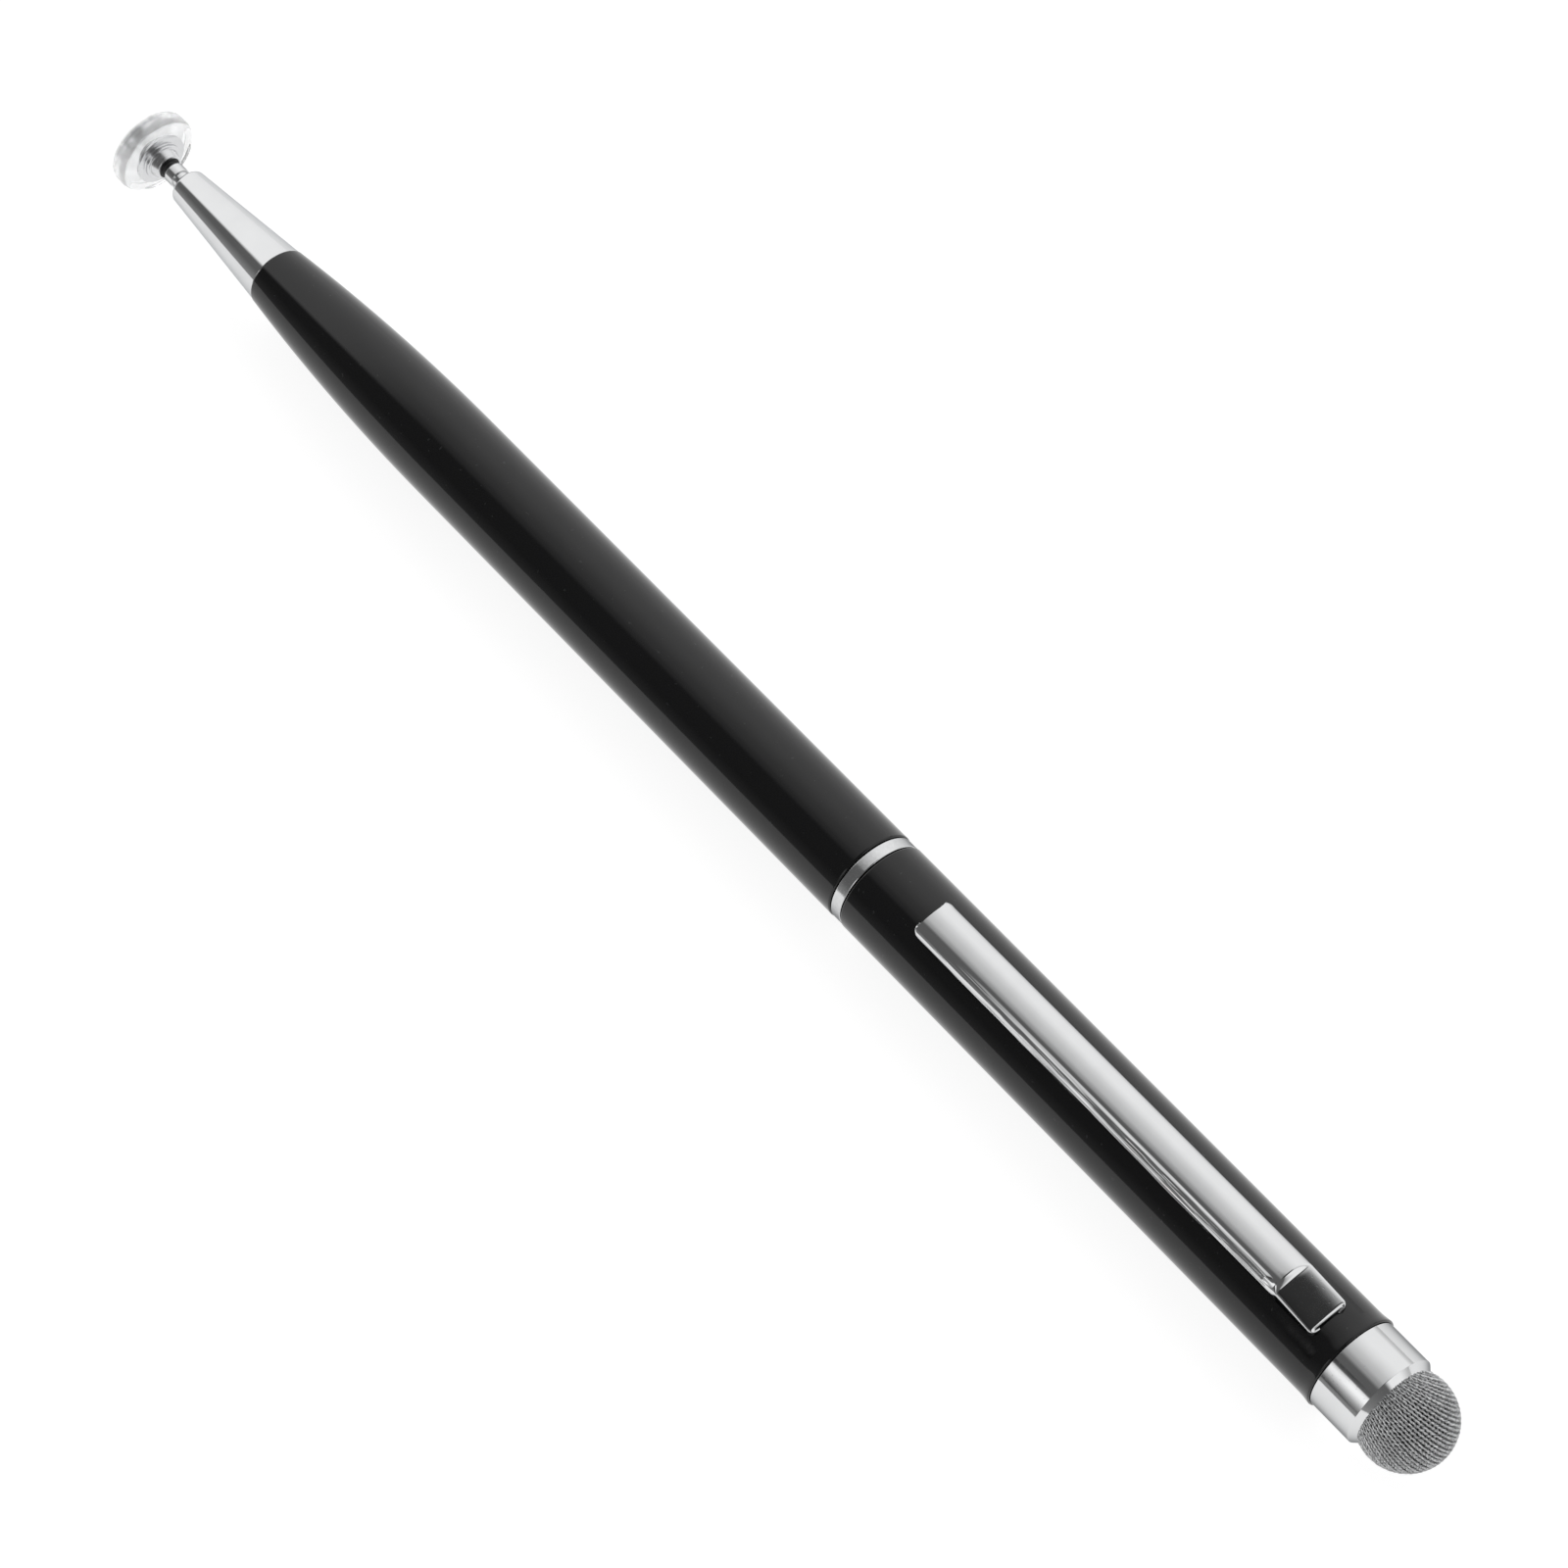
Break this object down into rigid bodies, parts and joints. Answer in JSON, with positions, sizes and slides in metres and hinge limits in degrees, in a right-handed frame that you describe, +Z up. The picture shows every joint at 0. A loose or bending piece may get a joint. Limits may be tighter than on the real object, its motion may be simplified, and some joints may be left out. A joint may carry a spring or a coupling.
{
  "type": "capacitive stylus",
  "caption": "Slim two-ended touch-screen stylus: clear disc on a ball joint, knitted fibre dome, black barrels that unscrew at a chrome ring, and a sprung pocket clip.",
  "frame": {"origin": "on the table under the middle of the pen's length", "axes": "+X along the pen towards its fibre dome, +Z up through the pocket clip"},
  "size_m": [0.1476, 0.0078, 0.0092],
  "materials": {
    "black_lacquer": "black gloss lacquer",
    "chrome": "bright plating",
    "ring_chrome": "turned and plated, faint lathe lines",
    "hub_metal": "turned, satin",
    "brass": "turned brass",
    "clear_plastic": "clear, polished",
    "clear_film": "clear conductive film",
    "liner_plastic": "black, moulded",
    "knit": "silver-grey knitted conductive yarn",
    "foam": "soft core"
  },
  "bodies": {
    "lower_half": {"lower_barrel": "black_lacquer", "nose_cone": "chrome", "front_bush": "brass", "ball_stem": "chrome", "joint_nipple": "brass", "centre_ring": "ring_chrome"},
    "liner": {"socket_liner": "liner_plastic"},
    "hub": {"disc_hub": "hub_metal"},
    "disc": {"contact_disc": "clear_plastic", "contact_film": "clear_film"},
    "thread_sleeve": {"upper_bush": "brass"},
    "upper_half": {"upper_barrel": "black_lacquer", "tail_bush": "brass", "tail_ferrule": "chrome", "tip_plug": "hub_metal"},
    "clip": {"pocket_clip": "chrome"},
    "soft_tip": {"mesh_tip": "knit", "foam_core": "foam"}
  },
  "joints": [
    {"name": "disc_pitch", "type": "hinge", "parent": "lower_half", "child": "liner", "pos_m": [-0.07141, 0, 0.00395], "axis": [0, 1, 0], "range_deg": [-15, 15]},
    {"name": "disc_yaw", "type": "hinge", "parent": "liner", "child": "hub", "pos_m": [-0.07141, 0, 0.00395], "axis": [0, 0, 1], "range_deg": [-15, 15]},
    {"name": "disc_spin", "type": "hinge", "parent": "hub", "child": "disc", "pos_m": [-0.07141, 0, 0.00395], "axis": [1, 0, 0], "continuous": true},
    {"name": "unscrew_travel", "type": "slide", "parent": "lower_half", "child": "thread_sleeve", "axis": [1, 0, 0], "range_m": [0, 0.0045]},
    {"name": "unscrew_turn", "type": "hinge", "parent": "thread_sleeve", "child": "upper_half", "pos_m": [0.01561, 0, 0.00395], "axis": [1, 0, 0], "range_deg": [0, 2161]},
    {"name": "clip_flex", "type": "hinge", "parent": "upper_half", "child": "clip", "pos_m": [0.06276, 0, 0.0078], "axis": [0, 1, 0], "range_deg": [0, 3], "stiffness_Nm_per_rad": 2, "springref_deg": -1.15},
    {"name": "tip_press", "type": "slide", "parent": "upper_half", "child": "soft_tip", "axis": [-1, 0, 0], "range_m": [0, 0.0008], "stiffness_N_per_m": 600, "deforming": ["mesh_tip", "foam_core"]}
  ],
  "couplings": [
    {"joint": "unscrew_turn", "follows": "unscrew_travel", "rad_per_m": 8377.6}
  ]
}
